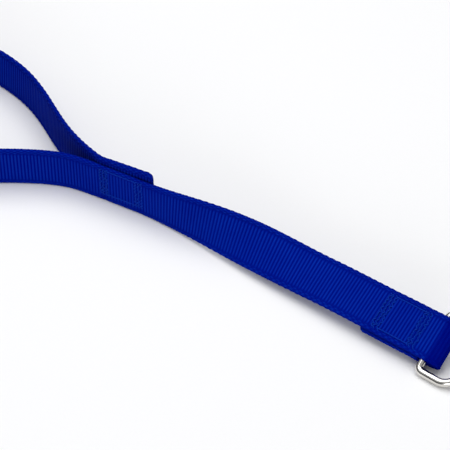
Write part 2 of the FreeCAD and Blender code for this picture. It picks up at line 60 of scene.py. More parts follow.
# ---- nose loop
SEAM_HEADING = 152.4
NEAR_STRAND = [(4.0, 0.0), (9.0, 4.0), (10.0, 14.0), (10.0, 6.0), (12.0, 3.6)]
FAR_STRAND = [(0.6, 0.0), (4.0, -19.2), (11.0, -5.4), (9.0, -5.4), (10.0, -5.5)]
FAR_STRAND += [(12.0, -1.7), (14.0, 6.4), (12.0, 9.9), (13.0, 9.0)]
FAR_LEAN, LEAN_RUN = 5.4, 25.0
RING_RUN = 8.0
TAIL_LENGTH, TAIL_RISE, TAIL_SLOPE = 22.5, 3.1, 0.045
TAIL_RAMP_START, TAIL_RAMP_RUN = -28.0, 30.0
TAIL_ROUND = 2.6                  # heat-cut corners of a webbing end
RAMP_START, RAMP_END = -48.0, -68.0
RING_LIFT = 3.5
MID_HEIGHT = RING_LIFT + WIDTH / 2

# ---- lead tab
TAB_PIECES = [(8.0, 0.0), (14.0, -2.4), (48.0, -0.6), (45.0, -6.4), (45.0, -0.8)]
TAB_LENGTH = sum(length for length, turn in TAB_PIECES)
ROLL_START, ROLL, ROLL_END = 17.0, 66.0, 105.0
UNROLL, UNROLL_START, UNROLL_SPAN = -14.0, 125.0, 70.0
LIFT, LIFT_BULGE = 5.65, 0.3
FOLD_EASE, FOLD_EASE_TURN = 3.9, -26.0
FOLD_DEPTH, FOLD_BACK, FOLD_RUN, FOLD_SLIP = 5.6, 4.9, 4.7, 1.2
SMOOTH_EARLY, SMOOTH_SHORT = 0.6, 2.0   # its smooth stretch starts early and stops short by these

# ---- seams
BAR_LENGTH, BAR_WIDTH, BAR_SPACING = 3.0, 16.0, 16.8
BAR_ROWS, BAR_STITCH, BAR_ZIGZAG = 3, 0.95, 0.45
UNEVEN_ALONG, UNEVEN_ACROSS = 0.4, 0.25
ROW_OFFSET, ROW_STITCH = 7.4, 2.1
LOOP_BAR_WIDTH, LOOP_ROW_OFFSET, LOOP_SEAM_HEIGHT = 15.0, 6.9, 11.5
SEAM_OVERRUN = 2.0
LEAD_SEAM = TAB_LENGTH - 8.4
LEAD_TAIL = LEAD_SEAM - BAR_SPACING - 6.0
THREAD = 0.42                     # diameter
STITCH_SINK, STITCH_RISE = 0.25, 0.28   # ends sink in by a length, middles rise by a share of THREAD

# ---- lead ring and cheek rings
LEAD_WIRE, LEAD_INNER, LEAD_LEG, LEAD_BOW, LEAD_CORNER = 3.5, 22.4, 9.0, 7.5, 2.2
LEAD_BAR_BACK, LEAD_BAR_DOWN, LEAD_ASIDE = 1.6, 2.9, 1.2
WIRE = 3.0
CHEEK_HIGH, CHEEK_WIDE, CHEEK_CORNER, CHEEK_PLAY = 21.0, 8.0, 2.0, 1.6
WELD_BULGE, WELD_HALF, WELD_ASIDE = 0.07, 0.55, 3.0
WELD_DIP, WELD_DIP_GAP, WELD_DIP_HALF = 0.03, 1.1, 0.4

# ---- neck strap and buckle
BAR_FOLD = 2.5
NECK_DROP = 2 * BAR_FOLD - PLY_PITCH
NECK_RUN, NECK_TAIL = 12.0, 10.4
SEAM_FORWARD = 1.0                # a neck seam lies this much nearer the ring than the tail's middle
BUCKLE_STRAP, BUCKLE_LONG, BUCKLE_HIGH, BUCKLE_CORNER, BUCKLE_WELD = 48.0, 20.0, 24.0, 2.0, 7.0
ROLLER_DIAMETER, ROLLER_LENGTH = 5.2, 19.6
ROLLER_SEAM, ROLLER_SEAM_AT = radians(3.5), 2.3 - pi / 2
RUNNING_GAP = 0.05
TONGUE_WIDTH, TONGUE_THICK, TONGUE_REST, TONGUE_GAP = 2.6, 2.2, 1.2, 0.15
TONGUE_EYE, TONGUE_SLIM, TONGUE_TIP = 150.0, 0.3, 1.1
SLOT_LONG, SLOT_WIDE, SLOT_DEEP, SLOT_BACK = 11.0, 4.0, 14.0, 0.5
NECK_LEVEL, NECK_BACK, NECK_BULGE, NECK_BULGE_TURN, NECK_TIP = 34.0, 100.0, 45.0, 25.0, 24.0
TIP_ROUND = 7.0
HOLE_PITCH, HOLE_FIRST, HOLES, HOLE_RADIUS = 18.0, 25.0, 5, 3.1
EYELET_BORE, EYELET_BARREL, EYELET_FLANGE, EYELET_SHEET, EYELET_GAP = 4.2, 5.0, 8.6, 0.4, 0.05
KEEPER_LONG, KEEPER_THICK, KEEPER_PLACE, KEEPER_CORNER = 9.0, 1.2, 14.0, 1.3
KEEPER_FRONT, KEEPER_REAR, KEEPER_SIDE = 0.5, 0.4, 0.3   # its gaps to the webbing inside it

# ---- nose pad
PAD_THICK, PAD_WIDE, PAD_ANGLE, PAD_GAP = 4.0, 24.0, 140.0, 0.1
PAD_ROW, PAD_ROW_HALF, PAD_PULL, PAD_PULL_HALF = 8.4, 0.9, 1.3, 1.1
PAD_CORNER, PAD_SLACK_WIDE, PAD_SLACK_THICK = 5.0, 0.6, 0.35
PAD_CAP, PAD_FRAMES, PAD_VOXEL, PAD_STITCH_SINK = 1.3, 20, 0.9, 0.95

# ---- stage
FLOOR_HALF, FLOOR_DROP = 6000.0, 0.05
SKY = ((0.35, (0.05, 0.05, 0.055, 1.0)), (0.60, (0.97, 0.98, 1.0, 1.0)))
LIGHT_AIM = (0.04, 0.0, 0.0)      # metres

Strip = namedtuple("Strip", "centre along across facing distance")


# ---- centre lines

def smoothstep(value):
    value = np.clip(value, 0.0, 1.0)
    return value * value * (3 - 2 * value)


def trace(start, heading, pieces):
    """Rows of (x, y, heading, distance) along straights and arcs given as (length, turn in degrees)."""
    rows = [(start[0], start[1], heading, 0.0)]
    for length, turn in pieces:
        count = max(1, ceil(length / FINE))
        step = length / count
        for index in range(count):
            x, y, now, gone = rows[-1]
            middle = radians(now + turn / count / 2)
            rows.append((x + step * cos(middle), y + step * sin(middle), now + turn / count, gone + step))
    return np.array(rows)


def end_of(start, heading, pieces):
    return trace(start, heading, pieces)[-1]


def s_bend(drop, run, first_turn):
    """Two equal arcs that shift a path sideways by drop over run; first_turn is the first arc's sign."""
    angle = 2 * degrees(atan(drop / run))
    length = run / (2 * sin(radians(angle))) * radians(angle)
    return [(length, first_turn * angle), (length, -first_turn * angle)]


def upright(rows, height):
    """A strip standing on edge along plan rows; height is the centre's z, or one z for each row."""
    turn = np.radians(rows[:, 2])
    flat = np.zeros(len(rows))
    centre = np.column_stack((rows[:, 0], rows[:, 1], flat + height))
    along = np.column_stack((np.cos(turn), np.sin(turn), flat))
    across = np.tile(UP, (len(rows), 1))
    return Strip(centre, along, across, np.cross(along, across), rows[:, 3])


def leaning(strip, lean):
    """The upright strip with its top leaning towards its own face by degrees given for each row."""
    tilt = np.radians(lean)[:, None]
    across = strip.across * np.cos(tilt) + np.cross(strip.along, strip.across) * np.sin(tilt)
    sink = WIDTH / 2 * (1 - np.cos(tilt)) - THICKNESS / 2 * np.sin(tilt)
    facing = np.cross(strip.along, across)
    return Strip(strip.centre - UP * sink, strip.along, across, facing, strip.distance)


def join(strips):
    """One strip from several that follow on, with distance counted through."""
    parts = []
    gone = 0.0
    for index, strip in enumerate(strips):
        skip = 1 if index else 0
        distance = strip.distance - strip.distance[0] + gone
        gone = distance[-1]
        fields = (strip.centre, strip.along, strip.across, strip.facing, distance)
        parts.append([field[skip:] for field in fields])
    return Strip(*(np.concatenate(fields) for fields in zip(*parts)))


def unit(rows):
    return rows / np.linalg.norm(rows, axis=-1, keepdims=True)


def run_length(path):
    """Distance along a row of points, from the first to each of them."""
    return np.concatenate(((0.0,), np.cumsum(np.linalg.norm(np.diff(path, axis=0), axis=1))))


def spokes(first, second, count):
    """Directions round a circle in the plane of two unit directions, or of rows of them."""
    turn = np.linspace(0.0, 2 * pi, count, endpoint=False)
    return first[..., None, :] * np.cos(turn)[:, None] + second[..., None, :] * np.sin(turn)[:, None]


def squared(values, power):
    """A circle's cosines or sines pushed outwards, for a section between round and square."""
    return np.sign(values) * np.abs(values) ** power


def resample(strip, distances):
    def at(field):
        columns = [np.interp(distances, strip.distance, column) for column in field.T]
        return np.column_stack(columns)

    along = unit(at(strip.along))
    across = unit(at(strip.across))
    return Strip(at(strip.centre), along, across, unit(np.cross(along, across)), np.asarray(distances))


def nose_plan():
    """Rows of the nose loop from the far tail to the origin, the loop's round end and its radius."""
    away = np.array((cos(radians(SEAM_HEADING - 90)), sin(radians(SEAM_HEADING - 90))))
    far_start = away * PLY_PITCH
    near_end = end_of((0.0, 0.0), SEAM_HEADING, NEAR_STRAND)
    far_end = end_of(far_start, SEAM_HEADING, FAR_STRAND)
    opening = radians(180.0 - far_end[2])
    radius = (far_end[1] - near_end[1]) / (1 + cos(opening))
    top_x = far_end[0] - radius * sin(opening)
    ahead = np.array((cos(radians(SEAM_HEADING)), sin(radians(SEAM_HEADING))))
    pieces = [(TAIL_LENGTH, 0.0)] + FAR_STRAND
    pieces += [(radius * opening, degrees(opening)), (RING_RUN, 0.0), (radius * pi, 180.0)]
    pieces += [(near_end[0] - top_x + RING_RUN, 0.0)]
    pieces += [(length, -turn) for length, turn in reversed(NEAR_STRAND)]
    rows = trace(far_start - ahead * TAIL_LENGTH, SEAM_HEADING, pieces)
    return rows, np.array((top_x - RING_RUN, near_end[1] + radius)), radius


def nose_strip():
    """The nose loop on edge: its far strand leans, and both strands rise to the cheek rings."""
    x = NOSE_ROWS[:, 0]
    far = np.arange(len(x)) < np.argmin(x)
    risen = smoothstep((RAMP_START - x) / (RAMP_START - RAMP_END))
    tail = TAIL_RISE * smoothstep((x - TAIL_RAMP_START) / TAIL_RAMP_RUN) + TAIL_SLOPE * np.maximum(x, 0.0)
    height = WIDTH / 2 + RING_LIFT * risen + np.where(far, tail, 0.0)
    lean = np.where(far, FAR_LEAN * smoothstep(-x / LEAN_RUN) * (1 - risen), 0.0)
    return leaning(upright(NOSE_ROWS, height), lean)


def tab_strip(distances):
    """The tab's frames at distances from the origin; past its end it goes straight on."""
    rows = trace((0.0, 0.0), SEAM_HEADING - 180.0, TAB_PIECES)
    place = np.asarray(distances, float)
    turn = np.radians(np.interp(place, rows[:, 3], rows[:, 2]))
    along = np.column_stack((np.cos(turn), np.sin(turn), np.zeros(len(turn))))
    roll = ROLL * smoothstep((place - ROLL_START) / (ROLL_END - ROLL_START))
    roll = np.radians(roll + UNROLL * smoothstep((place - UNROLL_START) / UNROLL_SPAN))[:, None]
    progress = np.clip((place - ROLL_START) / (TAB_LENGTH - ROLL_START), 0.0, 1.0)
    lift = LIFT_BULGE * np.sin(pi * progress) ** 2 + LIFT * smoothstep(progress)
    across = UP * np.cos(roll) + np.cross(UP, along) * np.sin(roll)
    height = lift + WIDTH / 2 * np.cos(roll[:, 0]) + THICKNESS / 2 * np.sin(roll[:, 0])
    x = np.interp(place, rows[:, 3], rows[:, 0])
    y = np.interp(place, rows[:, 3], rows[:, 1])
    beyond = np.maximum(place - TAB_LENGTH, 0.0)[:, None]
    centre = np.column_stack((x, y, height)) + along * beyond
    return Strip(centre, along, across, np.cross(along, across), place)


def fold_strip():
    """The tab's end fold round the lead ring's bar, down to the lower ply."""
    ease = end_of((0.0, 0.0), 0.0, [(FOLD_EASE, FOLD_EASE_TURN)])
    radius = (FOLD_DEPTH + ease[1]) / (1 + cos(radians(FOLD_EASE_TURN)))
    turn = -180.0 - FOLD_EASE_TURN
    pieces = [(FOLD_EASE, FOLD_EASE_TURN), (radius * radians(-turn), turn), (FOLD_BACK, 0.0)]
    rows = trace((0.0, 0.0), 0.0, pieces + s_bend(FOLD_DEPTH - PLY_PITCH, FOLD_RUN, -1))
    tab = tab_strip(TAB_LENGTH + rows[:, 0])
    turned = np.radians(rows[:, 2])[:, None]
    along = tab.along * np.cos(turned) + tab.facing * np.sin(turned)
    slip = FOLD_SLIP * rows[:, 3] / rows[-1, 3]
    centre = tab.centre + tab.facing * rows[:, 1][:, None] - tab.across * slip[:, None]
    strip = Strip(centre, along, tab.across, np.cross(along, tab.across), rows[:, 3])
    return strip, TAB_LENGTH + rows[-1, 0]


def under_tab(joined):
    """The lower ply from the fold back to the tab's hidden cut end."""
    places = np.linspace(joined, LEAD_TAIL, 60)
    tab = tab_strip(places)
    centre = tab.centre - tab.facing * PLY_PITCH - tab.across * FOLD_SLIP
    return Strip(centre, -tab.along, tab.across, -tab.facing, joined - places)


def buckle_strap_strip():
    """The short neck strap, folded round the near ring at one end and the buckle's bar at the other."""
    start = (RING_X - NECK_RUN - NECK_TAIL, NEAR_BAR_Y - BAR_FOLD + PLY_PITCH)
    turn_back = (pi * BAR_FOLD, -180.0)
    pieces = [(NECK_TAIL, 0.0)] + s_bend(NECK_DROP, NECK_RUN, 1) + [turn_back]
    pieces += [(BUCKLE_STRAP, 0.0), turn_back] + s_bend(NECK_DROP, NECK_RUN, -1) + [(NECK_TAIL, 0.0)]
    return upright(trace(start, 0.0, pieces), MID_HEIGHT)


def crown_strip():
    """The long neck strap, and how far its tip is from its tail."""
    outer_y = FAR_BAR_Y + BAR_FOLD
    start = (RING_X - NECK_RUN - NECK_TAIL, outer_y - PLY_PITCH)
    bulge_radius = NECK_BULGE / radians(NECK_BULGE_TURN)
    rise = 2 * bulge_radius * (1 - cos(radians(NECK_BULGE_TURN)))
    radius = (outer_y - NEAR_BAR_Y + rise) / (2 * cos(radians(NECK_BULGE_TURN)))
    sweep = 180.0 + 2 * NECK_BULGE_TURN
    pieces = [(NECK_TAIL, 0.0)] + s_bend(NECK_DROP, NECK_RUN, -1)
    pieces += [(pi * BAR_FOLD, 180.0), (NECK_LEVEL, 0.0)]
    level = sum(length for length, turn in pieces)
    pieces += [(NECK_BACK - NECK_LEVEL, 0.0), (NECK_BULGE, -NECK_BULGE_TURN)]
    low = sum(length for length, turn in pieces)
    pieces += [(radius * radians(sweep), sweep), (NECK_BULGE, -NECK_BULGE_TURN), (NECK_TIP, 0.0)]
    rows = trace(start, 0.0, pieces)
    down = smoothstep((rows[:, 3] - level) / (low - level))
    return upright(rows, MID_HEIGHT - RING_LIFT * down), rows[-1, 3]


NOSE_ROWS, END_CENTRE, END_RADIUS = nose_plan()
RING_X = END_CENTRE[0] + RING_RUN / 2
NEAR_Y, FAR_Y = END_CENTRE[1] - END_RADIUS, END_CENTRE[1] + END_RADIUS
CHEEK_REACH = CHEEK_WIDE + WIRE - THICKNESS / 2 - CHEEK_PLAY - WIRE / 2
NEAR_BAR_Y, FAR_BAR_Y = NEAR_Y - CHEEK_REACH, FAR_Y + CHEEK_REACH
PIVOT_X = RING_X - BUCKLE_STRAP
END_BAR_X = PIVOT_X - BUCKLE_LONG
PAD_RADIUS = END_RADIUS - THICKNESS / 2 - PAD_GAP - PAD_THICK / 2


# ---- meshes

def new_object(name, mesh):
    thing = bpy.data.objects.new(name, mesh)
    bpy.context.scene.collection.objects.link(thing)
    return thing


def grid_quads(rows, ring, wrap_rows):
    """Corner numbers of the quads between rows of points, each row a closed ring."""
    count = rows if wrap_rows else rows - 1
    row = np.arange(count)[:, None]
    column = np.arange(ring)[None, :]
    after = (row + 1) % rows
    beside = (column + 1) % ring
    corners = (row * ring + column, row * ring + beside, after * ring + beside, after * ring + column)
    return np.stack([np.broadcast_to(corner, (count, ring)) for corner in corners], -1).reshape(-1, 4)


def grid_object(name, points, wrap_rows=False, attributes=None):
    """A mesh over rows of points, each row a closed ring; its two ends are capped unless the rows wrap."""
    rows, ring = points.shape[:2]
    quads = grid_quads(rows, ring, wrap_rows)
    loops = [quads.ravel()]
    totals = [np.full(len(quads), 4)]
    if not wrap_rows:
        loops += [np.arange(ring)[::-1], (rows - 1) * ring + np.arange(ring)]
        totals.append(np.array((ring, ring)))
    corners, counts = np.concatenate(loops), np.concatenate(totals)
    return fill_object(name, points.reshape(-1, 3), corners, counts, attributes)


def repeated_grids(name, points, wrap_rows, attributes=None):
    """One object from several uncapped grids of one size, with points as (grids, rows, ring, 3)."""
    count, rows, ring = points.shape[:3]
    first = (np.arange(count) * rows * ring)[:, None, None]
    quads = (first + grid_quads(rows, ring, wrap_rows)).reshape(-1, 4)
    return fill_object(name, points.reshape(-1, 3), quads.ravel(), np.full(len(quads), 4), attributes)


def swept(centre, first, second, sideways, outwards):
    """Rows of points: a section's two offsets, as (rows, ring), carried along a centre line."""
    points = centre[:, None, :] + first[:, None, :] * sideways[..., None]
    return points + second[:, None, :] * outwards[..., None]


def fill_object(name, points, loops, totals, attributes=None):
    """A smooth mesh from points in millimetres, the faces' corners in a row and each face's corner count."""
    mesh = bpy.data.meshes.new(name)
    mesh.vertices.add(len(points))
    mesh.vertices.foreach_set("co", (points * MM).astype(np.float32).ravel())
    mesh.loops.add(len(loops))
    mesh.loops.foreach_set("vertex_index", loops.astype(np.int32))
    mesh.polygons.add(len(totals))
    starts = np.concatenate(((0,), np.cumsum(totals)[:-1]))
    mesh.polygons.foreach_set("loop_start", starts.astype(np.int32))
    mesh.polygons.foreach_set("loop_total", totals.astype(np.int32))
    mesh.polygons.foreach_set("use_smooth", np.ones(len(totals), bool))
    for key, values in (attributes or {}).items():
        layer = mesh.attributes.new(key, "FLOAT", "POINT")
        layer.data.foreach_set("value", values.astype(np.float32).ravel())
    mesh.update(calc_edges=True)
    mesh.validate()
    return new_object(name, mesh)


def section_ring(width, thickness):
    """A webbing cross-section: places and outward directions across and along the facing, and its weave.

    selvage is the distance into the edge weave from where the ribs stop, negative on the ribbed part."""
    half = thickness / 2 - RIB_HEIGHT
    edge = width / 2 - CORD_HEIGHT - half
    inner = edge + half - SELVAGE
    ribbed = np.linspace(-inner, inner, 15)[1:-1]
    woven = np.linspace(inner, edge, 12)
    front = np.concatenate((-woven[::-1], ribbed, woven))
    bend = np.radians(np.linspace(90.0, -90.0, 14))[1:-1]
    ones = np.ones(len(front))
    across = np.concatenate((front, edge + half * np.cos(bend), -front, -edge - half * np.cos(bend)))
    rise = np.concatenate((half * ones, half * np.sin(bend), -half * ones, -half * np.sin(bend)))
    out_across = np.concatenate((0 * ones, np.cos(bend), 0 * ones, -np.cos(bend)))
    out_rise = np.concatenate((ones, np.sin(bend), -ones, -np.sin(bend)))
    round_edge = edge - inner + half * (pi / 2 - bend)
    face = np.abs(front) - inner
    selvage = np.concatenate((face, round_edge, face, round_edge))
    return across, rise, out_across, out_rise, selvage


def weave_height(distance, selvage, calm):
    """Height of the weave above the section, as (rows, ring), and its rib crest from 0 to 1, which the
    webbing's look turns into painted highlight on the crests and painted shade in the grooves.
    """
    phase = distance[:, None] / RIB_PITCH
    crest = np.abs(np.cos(pi * phase)) ** CREST_SHAPE
    cord = np.floor(selvage / CORD)[None, :]
    groove = np.abs(np.sin(pi * selvage / CORD))[None, :] ** GROOVE_SHAPE
    lean = 0.5 + 0.5 * np.cos(pi * phase + pi * cord)
    braid = CORD_HEIGHT * (0.15 + 0.85 * lean) * (0.35 + 0.65 * groove)
    ribbed = selvage[None, :] < 0.0
    height = np.where(ribbed, RIB_HEIGHT * crest, braid)
    # on the selvage the crest value is lowest in the cords' grooves, so painted shade darkens them
    crest = np.where(ribbed, crest, 0.3 + 0.7 * lean * groove)
    return height * (1 - 0.35 * calm[:, None]), crest


def cut_ends(distance, length, rounds):
    """Distance from each heat-cut end with that end's corner radius; an end without a radius isn't cut."""
    ends = ((distance, rounds[0]), (length - distance, rounds[1]))
    return [(gap, radius) for gap, radius in ends if radius > 0]


def end_taper(distance, length, rounds):
    """Half-width lost near each cut end, whose corners are rounded by the two radii given."""
    lost = np.zeros(len(distance))
    for gap, radius in cut_ends(distance, length, rounds):
        inside = np.clip(radius - gap, 0.0, radius)
        lost = np.maximum(lost, radius - np.sqrt(radius ** 2 - inside ** 2))
    return lost


def end_melt(distance, length, rounds):
    """Share of the thickness that is left near each heat-cut end."""
    left = np.ones(len(distance))
    for gap, radius in cut_ends(distance, length, rounds):
        left = np.minimum(left, END_MELT + (1 - END_MELT) * smoothstep(gap / MELT_RUN))
    return left


def pressed_share(distance, pressed):
    """From 0 on free webbing to 1 under a bar seam at one of the pressed distances."""
    share = np.zeros(len(distance))
    for place in pressed:
        share = np.maximum(share, smoothstep((BAR_LENGTH / 2 + 0.9 - np.abs(distance - place)) / 1.2))
    return share


def webbing(name, strip, rounds=(0.0, 0.0), pressed=(), bent=None, width=WIDTH, thickness=THICKNESS,
            closed=False):
    """Ribbed webbing along a strip; bar seams flatten it at the pressed distances, and a tight fold
    smooths its ribs over the bent stretch; painted shade darkens it a little under the seams and more over
    the fold."""
    length = strip.distance[-1]
    places = np.arange(0.0, length - 1e-6, RIB_PITCH / RIB_STEPS)
    if not closed:
        places = np.append(places, length)
    even = resample(strip, places)
    across, rise, out_across, out_rise, selvage = section_ring(width, thickness)
    ribbed = selvage[None, :] < 0.0
    calm = pressed_share(places, pressed)
    smooth = np.zeros(len(places))
    if bent:
        smooth = smoothstep((places - bent[0]) / RIB_PITCH) * smoothstep((bent[1] - places) / RIB_PITCH)
    height, crest = weave_height(places, selvage, calm)
    height = height * (1 - 0.7 * smooth[:, None] * ribbed) - 0.04 * calm[:, None] * ribbed
    scale = 1 - end_taper(places, length, rounds) / (width / 2)
    melt = end_melt(places, length, rounds)
    sideways = across[None, :] * scale[:, None] + out_across[None, :] * height
    outwards = (rise[None, :] + out_rise[None, :] * height) * melt[:, None]
    points = swept(even.centre, even.across, even.facing, sideways, outwards)
    attributes = {
        "along_mm": np.broadcast_to(places[:, None], sideways.shape),
        "across_mm": sideways,
        # the painted rib highlight, turned down a little under bar seams and mostly over the fold: painted
        # shade
        "crest": crest * (1 - 0.1 * calm[:, None]) * (1 - 0.75 * smooth[:, None]),
    }
    return grid_object(name, points, wrap_rows=closed, attributes=attributes)


def tubes(name, starts, ends, rises, radius, rings=7, around=7):
    """Many short threads, each bowed by its rise from start to end; ends lie under the surface."""
    starts, ends, rises = (np.asarray(part, float) for part in (starts, ends, rises))
    share = np.linspace(0.0, 1.0, rings)
    bow = (1 - (2 * share - 1) ** 4)[None, :, None]
    line = starts[:, None, :] + (ends - starts)[:, None, :] * share[None, :, None] + rises[:, None, :] * bow
    along = unit(ends - starts)
    up = unit(rises)
    side = unit(np.cross(along, up))
    points = line[:, :, None, :] + spokes(side, up, around)[:, None, :, :] * radius
    length = np.broadcast_to(share[None, :, None], points.shape[:3])
    return repeated_grids(name, points, False, {"along_mm": length})


def stitch_line(strip, holes, rise):
    """Stitches between successive holes, given as (distance, side), at a rise above the strip's centre."""
    distances = np.array([hole[0] for hole in holes])
    sides = np.array([hole[1] for hole in holes])
    order = np.argsort(distances, kind="stable")
    sorted_frames = resample(strip, distances[order])
    back = np.argsort(order, kind="stable")
    centre, across, facing = (
        field[back] for field in (sorted_frames.centre, sorted_frames.across, sorted_frames.facing)
    )
    outward = np.sign(rise)
    points = centre + across * sides[:, None] + facing * (rise - outward * STITCH_SINK)
    lifts = facing[:-1] * outward * (STITCH_SINK + THREAD * STITCH_RISE)
    return points[:-1], points[1:], lifts


def seam(node, lines):
    """One seam's stitches as a piece; lines holds (starts, ends, rises) from stitch_line."""
    starts, ends, rises = (np.concatenate(parts) for parts in zip(*lines))
    thing = tubes(node + "_stitches", starts, ends, rises, THREAD / 2)
    dress(thing, "webbing", THREAD_LOOK, node)


def bar_lines(strip, place, faces, width=BAR_WIDTH):
    """A bar of slightly uneven zigzag rows across the webbing, one on each rib, so that the ribs show."""
    lines = []
    count = int(round(width / BAR_STITCH))
    index = np.arange(count + 1)
    chance = np.random.default_rng(7)
    for row in range(BAR_ROWS):
        distance = place + (row - (BAR_ROWS - 1) / 2) * RIB_PITCH
        zigzag = BAR_ZIGZAG * (-1.0) ** index + chance.uniform(-UNEVEN_ALONG, UNEVEN_ALONG, count + 1)
        side = -width / 2 + index * width / count + chance.uniform(-UNEVEN_ACROSS, UNEVEN_ACROSS, count + 1)
        holes = list(zip(distance + zigzag, side))
        lines += [stitch_line(strip, holes, rise) for rise in faces]
    return lines


def side_lines(strip, start, end, sides, faces, stitch):
    """Rows of straight stitches along the webbing from start to end, one at each side given."""
    lines = []
    count = int(round((end - start) / stitch))
    for side in sides:
        holes = [(start + (end - start) * index / count, side) for index in range(count + 1)]
        lines += [stitch_line(strip, holes, rise) for rise in faces]
    return lines


def dress(thing, body, look, node):
    """Gives a piece its material and body, and hides the CAD node it stands for."""
    thing.data.materials.clear()
    thing.data.materials.append(look)
    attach(thing, body)
    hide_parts(node)


# ---- node helpers

class Nodes:
    """A small helper that adds and links the nodes of one material."""

    def __init__(self, name):
        self.material = bpy.data.materials.new(name)
        self.material.use_nodes = True
        self.tree = self.material.node_tree
        self.shader = next(node for node in self.tree.nodes if node.type == "BSDF_PRINCIPLED")

    def add(self, kind, **settings):
        node = self.tree.nodes.new(kind)
        for key, value in settings.items():
            setattr(node, key, value)
        return node

    def link(self, source, target):
        self.tree.links.new(source, target)

    def put(self, value, socket):
        """Sets a socket to a number, or links another node's output to it."""
        if isinstance(value, (int, float)):
            socket.default_value = value
        else:
            self.link(value, socket)

    def attribute(self, name):
        return self.add("ShaderNodeAttribute", attribute_name=name).outputs["Fac"]

    def math(self, operation, first, second=0.0, third=None):
        node = self.add("ShaderNodeMath", operation=operation)
        values = (first, second) if third is None else (first, second, third)
        for index, value in enumerate(values):
            self.put(value, node.inputs[index])
        return node.outputs[0]

    def wave(self, value, pitch):
        """A cosine of value from 0 to 1 with the given pitch."""
        turn = self.math("MULTIPLY", value, 2 * pi / pitch)
        return self.math("MULTIPLY_ADD", self.math("COSINE", turn), 0.5, 0.5)

    def noise(self, scale, detail, stretch=(1.0, 1.0, 1.0)):
        place = self.add("ShaderNodeTexCoord").outputs["Object"]
        mapping = self.add("ShaderNodeMapping")
        mapping.inputs["Scale"].default_value = stretch
        self.link(place, mapping.inputs["Vector"])
        node = self.add("ShaderNodeTexNoise")
        node.inputs["Scale"].default_value = scale
        node.inputs["Detail"].default_value = detail
        node.inputs["Roughness"].default_value = 0.6
        self.link(mapping.outputs["Vector"], node.inputs["Vector"])
        return node.outputs["Fac"]

    def ramp(self, value, stops):
        node = self.add("ShaderNodeValToRGB")
        elements = node.color_ramp.elements
        while len(elements) < len(stops):
            elements.new(0.5)
        for element, (place, colour) in zip(elements, stops):
            element.position = place
            element.color = (*colour, 1.0)
        self.link(value, node.inputs["Fac"])
        return node.outputs["Color"]

    def bump(self, height, distance, strength=1.0):
        node = self.add("ShaderNodeBump")
        node.inputs["Strength"].default_value = strength
        node.inputs["Distance"].default_value = distance
        self.link(height, node.inputs["Height"])
        return node.outputs["Normal"]

    def finish(self, colour, roughness, normal, **values):
        self.link(colour, self.shader.inputs["Base Color"])
        self.put(roughness, self.shader.inputs["Roughness"])
        self.link(normal, self.shader.inputs["Normal"])
        for name, value in values.items():
            self.shader.inputs[name.replace("_", " ")].default_value = value
        return self.material


# ---- materials

# Tones of the blue webbing: in the webbing's look the dark end mostly stands for painted shade in the
# grooves and the pale end for painted highlight on the crests, with random tone besides
DEEP = (0.0, 0.0012, 0.150)
BLUE = (0.0, 0.0100, 0.260)
PALE = (0.0015, 0.0460, 0.440)
YARN_PITCH = 0.56


def webbing_look():
    """Ribbed nylon: yarns over each rib, fine fibres, painted highlight on the rib crests and painted shade
    in the grooves.
    """
    make = Nodes("ribbed_nylon")
    along, across, crest = (make.attribute(name) for name in ("along_mm", "across_mm", "crest"))
    rib = make.math("FLOOR", make.math("DIVIDE", make.math("ADD", along, RIB_PITCH / 2), RIB_PITCH))
    shift = make.math("MULTIPLY", rib, YARN_PITCH / 2)
    yarn = make.wave(make.math("ADD", across, shift), YARN_PITCH)
    fibre = make.noise(2600.0, 2.0)
    patches = make.noise(60.0, 3.0)
    # the tone follows the rib crest, painting highlight on the crests and shade in the grooves, with yarn
    # lines and random tone on top
    tone = make.math("MULTIPLY_ADD", crest, 0.62, make.math("MULTIPLY", yarn, 0.16))
    tone = make.math("ADD", tone, make.math("MULTIPLY_ADD", fibre, 0.24, -0.12))
    tone = make.math("ADD", tone, make.math("MULTIPLY_ADD", patches, 0.20, -0.10))
    colour = make.ramp(tone, [(0.05, DEEP), (0.55, BLUE), (1.0, PALE)])
    rough = make.math("MULTIPLY_ADD", fibre, 0.22, 0.50)
    height = make.math("MULTIPLY_ADD", yarn, 0.6, make.math("MULTIPLY", fibre, 0.5))
    normal = make.bump(height, 0.00006)
    shine = make.math("MULTIPLY", make.math("POWER", crest, 2.0), 0.02)
    make.link(shine, make.shader.inputs["Specular IOR Level"])
    return make.finish(colour, rough, normal)


def thread_look():
    make = Nodes("nylon_thread")
    along = make.attribute("along_mm")
    ply = make.wave(along, 0.22)
    fibre = make.noise(4200.0, 2.0)
    tone = make.math("MULTIPLY_ADD", ply, 0.45, make.math("MULTIPLY", fibre, 0.6))
    colour = make.ramp(tone, [(0.1, BLUE), (0.9, PALE)])
    normal = make.bump(tone, 0.00008)
    return make.finish(colour, 0.50, normal, Specular_IOR_Level=0.05)


def padding_look():
    """A close knit over foam."""
    make = Nodes("knitted_cover")
    place = make.add("ShaderNodeTexCoord").outputs["Object"]
    cells = make.add("ShaderNodeTexVoronoi", feature="DISTANCE_TO_EDGE")
    cells.inputs["Scale"].default_value = 1100.0
    make.link(place, cells.inputs["Vector"])
    fibre = make.noise(3000.0, 2.0)
    patches = make.noise(90.0, 3.0)
    tone = make.math("MULTIPLY_ADD", cells.outputs["Distance"], 0.9, make.math("MULTIPLY", fibre, 0.35))
    tone = make.math("MULTIPLY_ADD", patches, 0.3, tone)
    colour = make.ramp(tone, [(0.15, DEEP), (0.6, BLUE), (1.1, PALE)])
    normal = make.bump(tone, 0.00012)
    return make.finish(colour, 0.85, normal, Sheen_Weight=0.05, Specular_IOR_Level=0.05)


